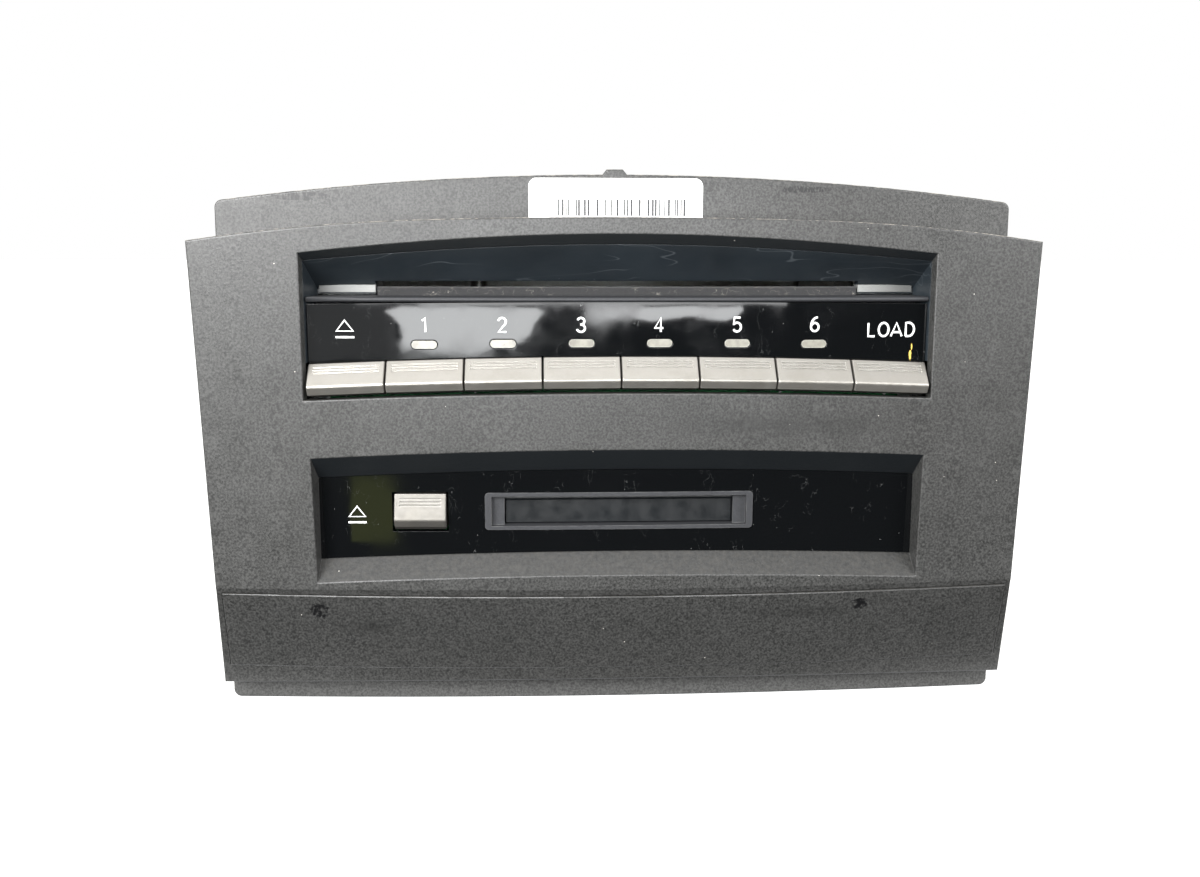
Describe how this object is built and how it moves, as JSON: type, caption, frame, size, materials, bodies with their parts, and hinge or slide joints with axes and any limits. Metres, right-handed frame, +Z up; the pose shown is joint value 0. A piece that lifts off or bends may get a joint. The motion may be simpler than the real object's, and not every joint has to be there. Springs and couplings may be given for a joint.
{
  "type": "car cd changer",
  "caption": "Dashboard disc changer with bowed dark grey fascia, funnel-shaped disc slot, row of silver keys and a card slot under it.",
  "frame": {"origin": "middle of the bottom of the whole unit's box, on the plane of its four feet", "axes": "+X to the unit's right as seen from the front, +Y to the back (the front faces -Y), +Z up"},
  "size_m": [0.21, 0.1933, 0.1383],
  "materials": {
    "fascia_grey": "fine grained, satin",
    "hood_black": "smooth, satin",
    "piano_black": "polished",
    "satin_silver": "silver paint, satin",
    "smoked_lens": "milky",
    "clear_bar": "clear",
    "felt": "felt",
    "circuit_board": "solder resist",
    "black_plastic": "moulded",
    "housing_steel": "zinc plated",
    "plated_steel": "zinc plated",
    "motor_case": "plain",
    "heat_sink_aluminium": "extruded",
    "roller_rubber": "matt",
    "gear_plastic": "natural"
  },
  "bodies": {
    "unit": {"fascia_panel": "fascia_grey", "chin_trim": "fascia_grey", "rear_collar": "fascia_grey", "slot_hood": "hood_black", "key_carrier": "hood_black", "card_mouth": "hood_black", "upper_gloss_strip": "piano_black", "lower_gloss_panel": "piano_black", "indicator_lenses": "smoked_lens", "slot_lights": "clear_bar", "slot_felt": "felt", "front_board": "circuit_board", "main_board": "circuit_board", "key_switches": "black_plastic", "card_connector": "black_plastic", "rear_sockets": "black_plastic", "front_frame": "housing_steel", "base_pan": "housing_steel", "side_plate_left": "housing_steel", "side_plate_right": "housing_steel", "top_cover": "housing_steel", "rear_panel": "housing_steel", "mount_brackets": "housing_steel", "case_screws": "plated_steel", "card_cage": "plated_steel", "mech_chassis": "plated_steel", "mech_roof": "plated_steel", "drive_deck": "plated_steel", "sled_rods": "plated_steel", "feed_motor": "motor_case", "spindle_motor": "motor_case", "sled_motor": "motor_case", "heat_sink": "heat_sink_aluminium", "deck_dampers": "roller_rubber"},
    "key_eject": {"key_eject": "satin_silver"},
    "key_1": {"key_1": "satin_silver"},
    "key_2": {"key_2": "satin_silver"},
    "key_3": {"key_3": "satin_silver"},
    "key_4": {"key_4": "satin_silver"},
    "key_5": {"key_5": "satin_silver"},
    "key_6": {"key_6": "satin_silver"},
    "key_load": {"key_load": "satin_silver"},
    "card_key": {"card_key": "satin_silver"},
    "card_flap": {"card_flap": "hood_black"},
    "feed_roller": {"roller_shaft": "plated_steel", "feed_roller": "roller_rubber"},
    "feed_pinion": {"feed_pinion": "gear_plastic"},
    "disc_tray_6": {"disc_tray_6": "gear_plastic"},
    "disc_tray_5": {"disc_tray_5": "gear_plastic"},
    "disc_tray_4": {"disc_tray_4": "gear_plastic"},
    "disc_tray_3": {"disc_tray_3": "gear_plastic"},
    "disc_tray_2": {"disc_tray_2": "gear_plastic"},
    "disc_tray_1": {"disc_tray_1": "gear_plastic"},
    "lift_screw_left": {"lift_screw_left": "plated_steel"},
    "lift_screw_right": {"lift_screw_right": "plated_steel"},
    "lift_screw_rear": {"lift_screw_rear": "plated_steel"},
    "pickup_sled": {"pickup_sled": "gear_plastic"},
    "sled_screw": {"sled_screw": "plated_steel"},
    "turntable": {"turntable": "gear_plastic"},
    "clamp_arm": {"clamp_arm": "plated_steel"}
  },
  "joints": [
    {"name": "key_eject_press", "type": "slide", "parent": "unit", "child": "key_eject", "axis": [0.0484, 0.9988, 0], "range_m": [0, 0.0012], "stiffness_N_per_m": 800, "springref_m": -0.0006},
    {"name": "key_1_press", "type": "slide", "parent": "unit", "child": "key_1", "axis": [0.0346, 0.9994, 0], "range_m": [0, 0.0012], "stiffness_N_per_m": 800, "springref_m": -0.0006},
    {"name": "key_2_press", "type": "slide", "parent": "unit", "child": "key_2", "axis": [0.0207, 0.9998, 0], "range_m": [0, 0.0012], "stiffness_N_per_m": 800, "springref_m": -0.0006},
    {"name": "key_3_press", "type": "slide", "parent": "unit", "child": "key_3", "axis": [0.0069, 1, 0], "range_m": [0, 0.0012], "stiffness_N_per_m": 800, "springref_m": -0.0006},
    {"name": "key_4_press", "type": "slide", "parent": "unit", "child": "key_4", "axis": [-0.0069, 1, 0], "range_m": [0, 0.0012], "stiffness_N_per_m": 800, "springref_m": -0.0006},
    {"name": "key_5_press", "type": "slide", "parent": "unit", "child": "key_5", "axis": [-0.0207, 0.9998, 0], "range_m": [0, 0.0012], "stiffness_N_per_m": 800, "springref_m": -0.0006},
    {"name": "key_6_press", "type": "slide", "parent": "unit", "child": "key_6", "axis": [-0.0346, 0.9994, 0], "range_m": [0, 0.0012], "stiffness_N_per_m": 800, "springref_m": -0.0006},
    {"name": "key_load_press", "type": "slide", "parent": "unit", "child": "key_load", "axis": [-0.0484, 0.9988, 0], "range_m": [0, 0.0012], "stiffness_N_per_m": 800, "springref_m": -0.0006},
    {"name": "card_key_press", "type": "slide", "parent": "unit", "child": "card_key", "axis": [0.0361, 0.9993, 0], "range_m": [0, 0.0012], "stiffness_N_per_m": 800, "springref_m": -0.0006},
    {"name": "card_flap_swing", "type": "hinge", "parent": "unit", "child": "card_flap", "pos_m": [0, -0.08685, 0.056], "axis": [1, 0, 0], "range_deg": [0, 82], "stiffness_Nm_per_rad": 0.002, "springref_deg": -11.46},
    {"name": "feed_roller_spin", "type": "hinge", "parent": "unit", "child": "feed_roller", "pos_m": [0, -0.06425, 0.1037], "axis": [1, 0, 0], "continuous": true},
    {"name": "feed_pinion_spin", "type": "hinge", "parent": "unit", "child": "feed_pinion", "pos_m": [0, -0.06425, 0.0934], "axis": [1, 0, 0], "continuous": true},
    {"name": "disc_tray_6_lift", "type": "slide", "parent": "unit", "child": "disc_tray_6", "axis": [0, 0, 1], "range_m": [0, 0.021]},
    {"name": "disc_tray_5_lift", "type": "slide", "parent": "unit", "child": "disc_tray_5", "axis": [0, 0, 1], "range_m": [0, 0.0175]},
    {"name": "disc_tray_4_lift", "type": "slide", "parent": "unit", "child": "disc_tray_4", "axis": [0, 0, 1], "range_m": [0, 0.014]},
    {"name": "disc_tray_3_lift", "type": "slide", "parent": "unit", "child": "disc_tray_3", "axis": [0, 0, 1], "range_m": [0, 0.0105]},
    {"name": "disc_tray_2_lift", "type": "slide", "parent": "unit", "child": "disc_tray_2", "axis": [0, 0, 1], "range_m": [0, 0.007]},
    {"name": "disc_tray_1_lift", "type": "slide", "parent": "unit", "child": "disc_tray_1", "axis": [0, 0, 1], "range_m": [0, 0.0035]},
    {"name": "lift_screw_left_turn", "type": "hinge", "parent": "unit", "child": "lift_screw_left", "pos_m": [-0.071, -0.04525, 0.06], "axis": [0, 0, 1], "range_deg": [0, 540]},
    {"name": "lift_screw_right_turn", "type": "hinge", "parent": "unit", "child": "lift_screw_right", "pos_m": [0.071, -0.04525, 0.06], "axis": [0, 0, 1], "range_deg": [0, 540]},
    {"name": "lift_screw_rear_turn", "type": "hinge", "parent": "unit", "child": "lift_screw_rear", "pos_m": [-0.042, 0.05775, 0.06], "axis": [0, 0, 1], "range_deg": [0, 540]},
    {"name": "pickup_sled_slide", "type": "slide", "parent": "unit", "child": "pickup_sled", "axis": [0, 1, 0], "range_m": [0, 0.026]},
    {"name": "sled_screw_turn", "type": "hinge", "parent": "unit", "child": "sled_screw", "pos_m": [0.02, 0.02275, 0.0679], "axis": [0, 1, 0], "range_deg": [0, 3120]},
    {"name": "turntable_spin", "type": "hinge", "parent": "unit", "child": "turntable", "pos_m": [0, 0.00475, 0.0666], "axis": [0, 0, 1], "continuous": true},
    {"name": "clamp_arm_swing", "type": "hinge", "parent": "unit", "child": "clamp_arm", "pos_m": [0, 0.07475, 0.1104], "axis": [-1, 0, 0], "range_deg": [-8, 0]}
  ],
  "couplings": [
    {"joint": "feed_pinion_spin", "follows": "feed_roller_spin", "ratio": -2.4},
    {"joint": "disc_tray_5_lift", "follows": "disc_tray_6_lift", "ratio": 0.83333},
    {"joint": "disc_tray_4_lift", "follows": "disc_tray_6_lift", "ratio": 0.66667},
    {"joint": "disc_tray_3_lift", "follows": "disc_tray_6_lift", "ratio": 0.5},
    {"joint": "disc_tray_2_lift", "follows": "disc_tray_6_lift", "ratio": 0.33333},
    {"joint": "disc_tray_1_lift", "follows": "disc_tray_6_lift", "ratio": 0.16667},
    {"joint": "lift_screw_left_turn", "follows": "disc_tray_6_lift", "rad_per_m": 448.8},
    {"joint": "lift_screw_right_turn", "follows": "disc_tray_6_lift", "rad_per_m": 448.8},
    {"joint": "lift_screw_rear_turn", "follows": "disc_tray_6_lift", "rad_per_m": 448.8},
    {"joint": "sled_screw_turn", "follows": "pickup_sled_slide", "rad_per_m": 2094.4}
  ]
}
